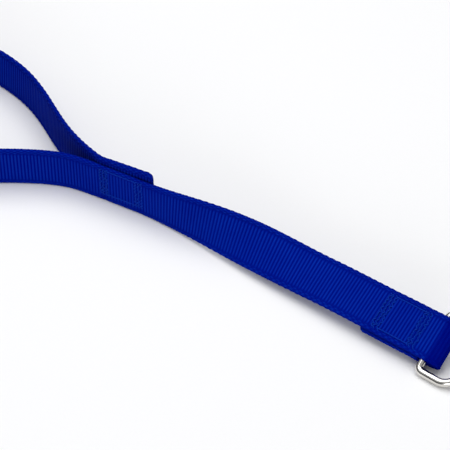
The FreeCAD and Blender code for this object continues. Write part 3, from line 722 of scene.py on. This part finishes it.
def nickel_look():
    """Bright nickel plate with fine scuffs, slight clouding and a few dull spots."""
    make = Nodes("nickel_plate")
    cloud = make.noise(180.0, 4.0)
    scuff = make.noise(1500.0, 3.0, (1.0, 6.0, 6.0))
    spots = make.noise(700.0, 2.0)
    colour = make.ramp(cloud, [(0.3, (0.62, 0.60, 0.56)), (0.7, (0.80, 0.78, 0.75))])
    rough = make.math("MULTIPLY_ADD", scuff, 0.12, 0.08)
    dull = make.math("GREATER_THAN", spots, 0.72)
    rough = make.math("MULTIPLY_ADD", dull, 0.18, rough)
    normal = make.bump(scuff, 0.00001, 0.5)
    return make.finish(colour, rough, normal, Metallic=1.0)


WEBBING_LOOK = webbing_look()
THREAD_LOOK = thread_look()
PADDING_LOOK = padding_look()
NICKEL_LOOK = nickel_look()


# ---- webbing pieces

def build_nose_strap():
    """The nose loop, the lead tab, its end fold and the hidden ply below, as one length of webbing."""
    loop = nose_strip()
    tab = tab_strip(np.linspace(0.0, TAB_LENGTH, 400))
    fold, joined = fold_strip()
    strip = join([loop, tab, fold, under_tab(joined)])
    seam_at = loop.distance[-1]
    fold_end = seam_at + TAB_LENGTH + fold.distance[-1]
    lead = [seam_at + LEAD_SEAM - BAR_SPACING * index for index in range(2)]
    under = [fold_end + joined - LEAD_SEAM + BAR_SPACING * index for index in range(2)]
    loop_bars = [TAIL_LENGTH, TAIL_LENGTH - BAR_SPACING, seam_at, seam_at + BAR_SPACING]
    # the fold's stretch, where the ribs are smoothed and painted shade darkens the webbing
    bent = (seam_at + TAB_LENGTH - SMOOTH_EARLY, fold_end - SMOOTH_SHORT)
    thing = webbing("nose_strap_webbing", strip, (TAIL_ROUND, TAIL_ROUND), lead + under + loop_bars, bent)
    dress(thing, "webbing", WEBBING_LOOK, "nose_strap")


def double_seam(name, strip, outer, inner, width, side):
    """A bar of stitches at the outer and the inner place, with a row along both edges between them."""
    faces = (THICKNESS / 2, -PLY_PITCH - THICKNESS / 2)
    for part, place in (("outer", outer), ("inner", inner)):
        seam(name + "_" + part + "_bar", bar_lines(strip, place, faces, width))
    start, end = min(outer, inner) + BAR_LENGTH / 2, max(outer, inner) - BAR_LENGTH / 2
    seam(name + "_side_rows", side_lines(strip, start, end, (-side, side), faces, ROW_STITCH))


def build_nose_seams():
    tab = tab_strip(np.linspace(0.0, TAB_LENGTH, 800))
    double_seam("lead_seam", tab, LEAD_SEAM, LEAD_SEAM - BAR_SPACING, BAR_WIDTH, ROW_OFFSET)
    # the loop seam runs on past the origin by half a bar, where the near strand goes straight on
    length = BAR_SPACING + 2 * SEAM_OVERRUN
    ahead = upright(trace((0.0, 0.0), SEAM_HEADING - 180.0, [(length, 0.0)]), LOOP_SEAM_HEIGHT)
    centre = ahead.centre - ahead.along * SEAM_OVERRUN
    behind = ahead._replace(centre=centre, distance=ahead.distance - SEAM_OVERRUN)
    double_seam("loop_seam", behind, 0.0, BAR_SPACING, LOOP_BAR_WIDTH, LOOP_ROW_OFFSET)


def neck_bar_places():
    """How far a neck strap's bar seam is from its cut end, in the tail and in the main run."""
    tail = NECK_TAIL + 2 * s_bend(NECK_DROP, NECK_RUN, 1)[0][0] + pi * BAR_FOLD
    return NECK_TAIL / 2 + SEAM_FORWARD, tail + NECK_RUN + NECK_TAIL / 2 - SEAM_FORWARD


def neck_seam(node, strip, place, inner):
    """A bar seam where a strap's tail is sewn to its main run; inner is the tail's side of its facing."""
    faces = (-inner * THICKNESS / 2, inner * (PLY_PITCH + THICKNESS / 2))
    seam(node, bar_lines(strip, place, faces))


def build_buckle_strap():
    strip = buckle_strap_strip()
    total = strip.distance[-1]
    in_tail, in_run = neck_bar_places()
    bars = [in_tail, in_run, total - in_run, total - in_tail]
    thing = webbing("buckle_strap_webbing", strip, (TAIL_ROUND, TAIL_ROUND), bars)
    cut_slot(thing)
    dress(thing, "webbing", WEBBING_LOOK, "buckle_strap")
    neck_seam("buckle_strap_ring_seam", strip, in_run, 1)
    neck_seam("buckle_strap_pivot_seam", strip, total - in_run, 1)


def cut_slot(thing):
    """Marks the outline of the slot that the buckle's tongue swings through.

    The cutter's ring runs the wrong way round for the boolean to remove webbing, so the slot stays shut."""
    half = SLOT_WIDE / 2
    turn = np.linspace(0.0, 2 * pi, 33)[:-1]
    x = PIVOT_X - SLOT_BACK + (SLOT_LONG / 2 - half) * np.sign(np.cos(turn)) + half * np.cos(turn)
    z = MID_HEIGHT + half * np.sin(turn)
    sides = (NEAR_BAR_Y - SLOT_DEEP / 2, NEAR_BAR_Y + SLOT_DEEP / 2)
    cutter = grid_object("slot_cutter", np.array([[(px, y, pz) for px, pz in zip(x, z)] for y in sides]))
    change = thing.modifiers.new("slot", "BOOLEAN")
    change.object = cutter
    change.operation = "DIFFERENCE"
    change.solver = "EXACT"
    apply_modifiers(thing)
    bpy.data.objects.remove(cutter)


def apply_modifiers(thing):
    """Makes the mesh that a piece's modifiers give its own, and drops them."""
    graph = bpy.context.evaluated_depsgraph_get()
    mesh = bpy.data.meshes.new_from_object(thing.evaluated_get(graph), depsgraph=graph)
    thing.modifiers.clear()
    thing.data = mesh


def build_crown_strap():
    strip, length = crown_strip()
    in_tail, in_run = neck_bar_places()
    thing = webbing("crown_strap_webbing", strip, (TAIL_ROUND, TIP_ROUND), [in_tail, in_run])
    holes = resample(strip, sorted(length - HOLE_FIRST - index * HOLE_PITCH for index in range(HOLES)))
    open_holes(thing, holes)
    dress(thing, "webbing", WEBBING_LOOK, "crown_strap")
    neck_seam("crown_strap_ring_seam", strip, in_run, -1)
    build_eyelets(holes)


def open_holes(thing, holes):
    """Takes out the webbing inside each eyelet's flange."""
    mesh = thing.data
    count = len(mesh.polygons)
    middles = np.zeros(count * 3, np.float32)
    mesh.polygons.foreach_get("center", middles)
    middles = middles.reshape(-1, 3) / MM
    gone = np.zeros(count, bool)
    for centre in holes.centre:
        gone |= np.linalg.norm(middles - centre, axis=1) < HOLE_RADIUS
    work = bmesh.new()
    work.from_mesh(mesh)
    work.faces.ensure_lookup_table()
    bmesh.ops.delete(work, geom=[work.faces[int(index)] for index in np.flatnonzero(gone)], context="FACES")
    work.to_mesh(mesh)
    work.free()


def lathe(centre, axis, side, profile, segments=40):
    """Rings of points round an axis, from a profile of (radius, height)."""
    ring = spokes(side, np.cross(axis, side), segments)
    return np.array([centre + ring * radius + axis * height for radius, height in profile])


def flange_edge(radius, height, thick, start, end):
    """The rounded edge of an eyelet's or washer's flange, as (radius, height)."""
    turns = np.radians(np.linspace(start, end, 7))
    return [(radius - 0.2 + 0.2 * cos(turn), height + thick * sin(turn)) for turn in turns]


def eyelet_profile():
    """A rolled flange over the outer face and a plain barrel through the webbing."""
    face = THICKNESS / 2 + EYELET_GAP
    foot = -face - EYELET_SHEET
    bore, barrel, flange = EYELET_BORE / 2, EYELET_BARREL / 2, EYELET_FLANGE / 2
    profile = [(bore, foot), (bore, face + 0.02)]
    for turn in np.radians(np.linspace(180.0, 60.0, 7)):
        profile.append((bore + 0.35 + 0.35 * cos(turn), face + 0.05 + 0.42 * sin(turn)))
    profile += flange_edge(flange, face + 0.19, 0.17, 80.0, -80.0)
    return profile + [(barrel, face), (barrel, foot + 0.1), (barrel - 0.15, foot)]


def washer_profile():
    """A flat washer round the eyelet's barrel, on the inner face."""
    face = THICKNESS / 2 + EYELET_GAP
    foot = -face - EYELET_SHEET
    barrel, flange = EYELET_BARREL / 2 + EYELET_GAP, EYELET_FLANGE / 2
    profile = [(barrel, -face), (barrel, foot + 0.1), (barrel + 0.12, foot)]
    return profile + flange_edge(flange, -face - 0.2, 0.19, -80.0, 80.0)


def build_eyelets(holes):
    for node, profile in (("eyelets", eyelet_profile()), ("eyelet_washers", washer_profile())):
        grids = [lathe(*frame_at, profile) for frame_at in zip(holes.centre, holes.facing, holes.across)]
        thing = repeated_grids(node + "_rolled", np.array(grids), True)
        dress(thing, "webbing", NICKEL_LOOK, node)


# ---- wire and buckle

def rounded_path(corners, radii, step=0.5):
    """Points round a closed outline with a bend at each corner, starting after the last corner."""
    corners = [np.asarray(corner, float) for corner in corners]
    path = []
    for index, corner in enumerate(corners):
        radius = radii[index]
        back = unit(corners[index - 1] - corner)
        ahead = unit(corners[(index + 1) % len(corners)] - corner)
        half = np.arccos(np.clip(back @ ahead, -1, 1)) / 2
        middle = corner + unit(back + ahead) * radius / sin(half)
        first = corner + back * radius / np.tan(half) - middle
        last = corner + ahead * radius / np.tan(half) - middle
        second = unit(last - first * (last @ first) / radius ** 2)
        sweep = pi - 2 * half
        for turn in np.linspace(0.0, sweep, max(4, ceil(sweep * radius / step) + 3)):
            path.append(middle + first * cos(turn) + second * radius * sin(turn))
    dense = []
    for index, point in enumerate(path):
        onward = path[(index + 1) % len(path)] - point
        parts = max(1, ceil(np.linalg.norm(onward) / step))
        dense += [point + onward * part / parts for part in range(parts)]
    return np.array(dense)


def wire_ring(name, corners, radii, diameter, normal, weld, around=24):
    """A closed ring of round wire with its butt weld as a slight uneven collar."""
    path = rounded_path(corners, radii)
    along = unit(np.roll(path, -1, 0) - np.roll(path, 1, 0))
    up = np.tile(normal, (len(path), 1))
    gap = np.linalg.norm(path - weld, axis=1)
    bulge = WELD_BULGE * np.exp(-(gap / WELD_HALF) ** 2)
    dip = WELD_DIP * np.exp(-((gap - WELD_DIP_GAP) / WELD_DIP_HALF) ** 2)
    size = diameter / 2 * (1 + bulge - dip)
    ring = spokes(unit(np.cross(up, along)), up, around)
    return grid_object(name, path[:, None, :] + ring * size[:, None, None], wrap_rows=True)


def build_lead_ring():
    tab = tab_strip([TAB_LENGTH])
    along, across, facing = tab.along[0], tab.across[0], tab.facing[0]
    bar = tab.centre[0] - along * LEAD_BAR_BACK - facing * LEAD_BAR_DOWN - across * LEAD_ASIDE
    half = (LEAD_INNER + LEAD_WIRE) / 2
    reach = LEAD_LEG + LEAD_BOW
    outline = [(0, -half), (reach, -half), (reach, half), (0, half)]
    corners = [bar + along * ahead + across * side for ahead, side in outline]
    radii = [LEAD_CORNER, LEAD_BOW, LEAD_BOW, LEAD_CORNER]
    thing = wire_ring("lead_ring_wire", corners, radii, LEAD_WIRE, facing, bar + across * WELD_ASIDE)
    dress(thing, "lead_ring", NICKEL_LOOK, "lead_ring")


def build_cheek_rings():
    half = (CHEEK_HIGH + WIRE) / 2
    low, high = MID_HEIGHT - half, MID_HEIGHT + half
    normal = np.array((1.0, 0.0, 0.0))
    for node, outer, inward in (("cheek_ring_near", NEAR_BAR_Y, 1), ("cheek_ring_far", FAR_BAR_Y, -1)):
        inner = outer + inward * (CHEEK_WIDE + WIRE)
        corners = [(RING_X, y, z) for y, z in ((inner, low), (outer, low), (outer, high), (inner, high))]
        weld = np.array((RING_X, inner, MID_HEIGHT + WELD_ASIDE))
        thing = wire_ring(node + "_wire", corners, [CHEEK_CORNER] * 4, WIRE, normal, weld)
        dress(thing, node, NICKEL_LOOK, node)


def build_buckle_frame():
    low, high = MID_HEIGHT - BUCKLE_HIGH / 2, MID_HEIGHT + BUCKLE_HIGH / 2
    outline = [(PIVOT_X, low), (END_BAR_X, low), (END_BAR_X, high), (PIVOT_X, high)]
    corners = [(x, NEAR_BAR_Y, z) for x, z in outline]
    weld = np.array((PIVOT_X, NEAR_BAR_Y, MID_HEIGHT + BUCKLE_WELD))
    normal = np.array((0.0, 1.0, 0.0))
    thing = wire_ring("buckle_frame_wire", corners, [BUCKLE_CORNER] * 4, WIRE, normal, weld)
    dress(thing, "buckle_frame", NICKEL_LOOK, "buckle_frame")


def build_roller():
    """A roller of rolled sheet: an open seam along it and slightly flared ends."""
    inner, outer = WIRE / 2 + RUNNING_GAP, ROLLER_DIAMETER / 2
    half = ROLLER_LENGTH / 2
    lower = [(inner, -half), (outer - 0.35, -half), (outer - 0.1, -half + 0.12), (outer, -half + 0.45)]
    lower.append((outer - 0.12, -half + 1.3))
    profile = lower + [(radius, -height) for radius, height in reversed(lower)]
    centre = np.array((END_BAR_X, NEAR_BAR_Y, MID_HEIGHT))
    rings = []
    for turn in np.linspace(ROLLER_SEAM, 2 * pi - ROLLER_SEAM, 45) + ROLLER_SEAM_AT:
        spoke = np.array((cos(turn), sin(turn), 0.0))
        rings.append([centre + spoke * radius + UP * height for radius, height in profile])
    thing = grid_object("buckle_roller_sheet", np.array(rings))
    thing.data.set_sharp_from_angle(angle=radians(40.0))
    dress(thing, "buckle_roller", NICKEL_LOOK, "buckle_roller")


def tongue_path():
    """The tongue's centre line: two thirds of the way round the pivot bar, then straight to the roller."""
    middle = WIRE / 2 + RUNNING_GAP + TONGUE_THICK / 2 - TONGUE_SLIM / 2
    start = np.array((PIVOT_X, NEAR_BAR_Y - middle))
    rest_y = NEAR_BAR_Y - ROLLER_DIAMETER / 2 - TONGUE_GAP - TONGUE_THICK / 2
    end = np.array((END_BAR_X - TONGUE_REST, rest_y))
    eye = np.radians(np.linspace(TONGUE_EYE, -90.0, 34))
    path = [(PIVOT_X + middle * cos(turn), NEAR_BAR_Y + middle * sin(turn)) for turn in eye]
    path += [tuple(start + (end - start) * share) for share in np.linspace(0.0, 1.0, 26)[1:]]
    return np.column_stack((path, np.full(len(path), MID_HEIGHT)))


def build_tongue():
    """A prong bent from bar: an eye round the pivot, a straight run and a rounded tip on the roller."""
    path = tongue_path()
    side = np.cross(UP, unit(np.gradient(path, axis=0)))
    gone = run_length(path)
    left = (gone[-1] - gone) / TONGUE_TIP
    tip = np.sqrt(np.clip(1 - (1 - np.clip(left, 0, 1)) ** 2, 0.02, 1))
    thick = (TONGUE_THICK - TONGUE_SLIM) / 2 * tip
    wide = TONGUE_WIDTH / 2 * (0.55 + 0.45 * tip)
    turn = np.linspace(0.0, 2 * pi, 20, endpoint=False)
    thick = thick[:, None] * squared(np.cos(turn), 0.6)
    wide = wide[:, None] * squared(np.sin(turn), 0.6)
    thing = grid_object("buckle_tongue_prong", swept(path, side, UP[None, :], thick, wide))
    dress(thing, "buckle_tongue", NICKEL_LOOK, "buckle_tongue")


def build_keeper():
    """A closed loop of narrow webbing round the buckle strap, with room for the crown strap in front."""
    outer_ply = NEAR_BAR_Y - BAR_FOLD
    half = KEEPER_THICK / 2
    near = outer_ply - THICKNESS / 2 - KEEPER_FRONT - THICKNESS - KEEPER_FRONT - half
    far = outer_ply + PLY_PITCH + THICKNESS / 2 + KEEPER_REAR + half
    low, high = RING_LIFT - KEEPER_SIDE - half, RING_LIFT + WIDTH + KEEPER_SIDE + half
    outline = [(near, low), (far, low), (far, high), (near, high)]
    corners = [(PIVOT_X + KEEPER_PLACE, y, z) for y, z in outline]
    path = rounded_path(corners, [KEEPER_CORNER] * 4, 0.3)
    path = np.vstack((path, path[:1]))
    along = np.gradient(path, axis=0)
    along[0] = along[-1] = path[1] - path[-2]
    along = unit(along)
    across = np.tile(np.array((1.0, 0.0, 0.0)), (len(path), 1))
    strip = Strip(path, along, across, np.cross(along, across), run_length(path))
    thing = webbing("keeper_loop_webbing", strip, width=KEEPER_LONG, thickness=KEEPER_THICK, closed=True)
    dress(thing, "keeper_loop", WEBBING_LOOK, "keeper_loop")


# ---- nose pad

def pad_strip(radius, angle):
    """An arc of the loop's round end, as wide as angle and centred on it."""
    turn = np.radians(np.linspace(180.0 - angle / 2, 180.0 + angle / 2, 160))
    out = np.column_stack((np.cos(turn), np.sin(turn), np.zeros(len(turn))))
    centre = np.append(END_CENTRE, MID_HEIGHT) + out * radius
    along = np.cross(UP, out)
    return Strip(centre, along, np.tile(UP, (len(turn), 1)), np.cross(along, UP), radius * (turn - turn[0]))


def pad_block():
    """The pad's soft body before it is puffed up: a curved block with round edges."""
    strip = pad_strip(PAD_RADIUS, PAD_ANGLE - 2.0)
    turn = np.linspace(0.0, 2 * pi, 64, endpoint=False)
    wide = (PAD_WIDE / 2 - PAD_SLACK_WIDE) * squared(np.cos(turn), 0.35)
    thick = (PAD_THICK / 2 - PAD_SLACK_THICK) * squared(np.sin(turn), 0.6)
    ends = end_taper(strip.distance, strip.distance[-1], (PAD_CORNER, PAD_CORNER))
    size = 1 - ends / (PAD_WIDE / 2)
    wide = wide[None, :] * size[:, None]
    points = swept(strip.centre, strip.across, strip.facing, wide, thick[None, :])
    return grid_object("nose_pad_cover", points)


def hold_weights(thing):
    """Pins the pad's cover along its two seams and over the face that lies on the webbing."""
    group = thing.vertex_groups.new(name="held")
    centre = np.append(END_CENTRE, MID_HEIGHT)
    for vertex in thing.data.vertices:
        place = np.array(vertex.co) / MM - centre
        side = abs(place[2])
        outwards = np.linalg.norm(place[:2]) - PAD_RADIUS
        near_row = max(0.0, 1.0 - abs(side - PAD_ROW) / PAD_ROW_HALF)
        on_strap = 1.0 if outwards > PAD_THICK * 0.3 and side < WIDTH / 2 else 0.0
        weight = max(near_row, on_strap)
        if weight > 0:
            group.add([vertex.index], weight, "REPLACE")


def puff(thing):
    """Fills the cover like foam with a short cloth simulation and keeps the result."""
    before = np.array([vertex.co[:] for vertex in thing.data.vertices])
    hold_weights(thing)
    cloth = thing.modifiers.new("cloth", "CLOTH")
    settings = cloth.settings
    settings.quality = 6
    settings.mass = 0.15
    settings.use_pressure = True
    settings.uniform_pressure_force = 4.0
    settings.effector_weights.gravity = 0.0
    settings.vertex_group_mass = "held"
    settings.tension_stiffness = settings.compression_stiffness = 20.0
    settings.bending_stiffness = 0.6
    cloth.point_cache.frame_start, cloth.point_cache.frame_end = 1, PAD_FRAMES
    scene = bpy.context.scene
    for number in range(1, PAD_FRAMES + 1):
        scene.frame_set(number)
    apply_modifiers(thing)
    scene.frame_set(1)
    move = np.array([vertex.co[:] for vertex in thing.data.vertices]) - before
    size = np.linalg.norm(move, axis=1, keepdims=True)
    cap = PAD_CAP * MM
    move = np.where(size > cap, move * cap / np.maximum(size, 1e-12), move)
    thing.data.vertices.foreach_set("co", (before + move).astype(np.float32).ravel())


def pull_rows(thing):
    """Draws the cover in along the two rows of stitches, as thread does in foam."""
    centre = np.append(END_CENTRE, MID_HEIGHT) * MM
    for vertex in thing.data.vertices:
        place = np.array(vertex.co) - centre
        reach = np.linalg.norm(place[:2])
        side = abs(place[2]) / MM
        inward = PAD_RADIUS - reach / MM
        if inward > 0:
            depth = PAD_PULL * np.exp(-((side - PAD_ROW) / PAD_PULL_HALF) ** 2) * min(1.0, inward)
            place[:2] *= 1 + depth * MM / reach
            vertex.co = centre + place


def build_nose_pad():
    thing = pad_block()
    remesh = thing.modifiers.new("even", "REMESH")
    remesh.mode = "VOXEL"
    remesh.voxel_size = PAD_VOXEL * MM
    apply_modifiers(thing)
    pull_rows(thing)
    puff(thing)
    smooth = thing.modifiers.new("smooth", "SUBSURF")
    smooth.levels = smooth.render_levels = 1
    apply_modifiers(thing)
    thing.data.polygons.foreach_set("use_smooth", np.ones(len(thing.data.polygons), bool))
    dress(thing, "webbing", PADDING_LOOK, "nose_pad")
    lines = []
    inner = PAD_RADIUS - PAD_THICK / 2 + PAD_STITCH_SINK
    for radius, face, stitch in ((END_RADIUS, THICKNESS / 2, 2.6), (inner, -0.05, 2.4)):
        strip = pad_strip(radius, PAD_ANGLE - 6.0)
        lines += side_lines(strip, 1.0, strip.distance[-1] - 1.0, (-PAD_ROW, PAD_ROW), (face,), stitch)
    seam("nose_pad_seams", lines)


# ---- stage

def build_floor():
    make = Nodes("paper_floor")
    grain = make.noise(900.0, 4.0)
    colour = make.ramp(grain, [(0.2, (0.90, 0.90, 0.905)), (0.8, (0.915, 0.915, 0.92))])
    look = make.finish(colour, 0.75, make.bump(grain, 0.00002), Specular_IOR_Level=0.15)
    corners = ((-1, -1), (1, -1), (1, 1), (-1, 1))
    points = np.array([(x * FLOOR_HALF, y * FLOOR_HALF, -FLOOR_DROP) for x, y in corners])
    floor = fill_object("floor", points, np.arange(4), np.array([4]))
    floor.data.materials.append(look)


def area_light(name, place, size, power):
    data = bpy.data.lights.new(name, "AREA")
    data.shape = "RECTANGLE"
    data.size, data.size_y = size
    data.energy = power
    lamp = new_object(name, data)
    lamp.location = place
    lamp.rotation_euler = (Vector(LIGHT_AIM) - Vector(place)).to_track_quat("-Z", "Y").to_euler()


def build_world():
    """A sky that is bright overhead and dark low down, and plain white where the camera sees it."""
    world = bpy.data.worlds.new("studio")
    world.use_nodes = True
    tree = world.node_tree
    tree.nodes.clear()
    kinds = ("TexCoord", "SeparateXYZ", "ValToRGB", "Background", "Background", "LightPath", "MixShader")
    nodes = [tree.nodes.new("ShaderNode" + kind) for kind in kinds]
    place, split, ramp, sky, plain, rays, mix = nodes
    output = tree.nodes.new("ShaderNodeOutputWorld")
    for element, (position, colour) in zip(ramp.color_ramp.elements, SKY):
        element.position = position
        element.color = colour
    sky.inputs["Strength"].default_value = 0.45
    plain.inputs["Color"].default_value = (1.0, 1.0, 1.0, 1.0)
    for source, target in (
        (place.outputs["Generated"], split.inputs["Vector"]),
        (split.outputs["Z"], ramp.inputs["Fac"]),
        (ramp.outputs["Color"], sky.inputs["Color"]),
        (rays.outputs["Is Camera Ray"], mix.inputs["Fac"]),
        (sky.outputs["Background"], mix.inputs[1]),
        (plain.outputs["Background"], mix.inputs[2]),
        (mix.outputs["Shader"], output.inputs["Surface"]),
    ):
        tree.links.new(source, target)
    bpy.context.scene.world = world


def build_lights():
    area_light("key", (0.0, 0.20, 1.05), (1.2, 1.2), 10.6)
    area_light("front", (0.0, -1.5, 0.45), (1.4, 0.5), 10.0)


def build_camera():
    elevation, distance, focal = radians(46.9), 0.900, 171.9
    target = Vector((0.0506, -0.0149, 0.0))
    data = bpy.data.cameras.new("photo_view")
    data.sensor_width, data.lens = 36.0, focal
    data.clip_start, data.clip_end = 0.01, 20.0
    camera = new_object("photo_view", data)
    camera.location = target + Vector((0.0, -distance * cos(elevation), distance * sin(elevation)))
    camera.rotation_euler = (target - camera.location).to_track_quat("-Z", "Y").to_euler()
    bpy.context.scene.camera = camera


def main():
    bpy.context.scene.view_settings.view_transform = "Standard"
    build_nose_strap()
    build_nose_seams()
    build_nose_pad()
    build_buckle_strap()
    build_crown_strap()
    build_lead_ring()
    build_cheek_rings()
    build_buckle_frame()
    build_roller()
    build_tongue()
    build_keeper()
    build_floor()
    build_world()
    build_lights()
    build_camera()


main()
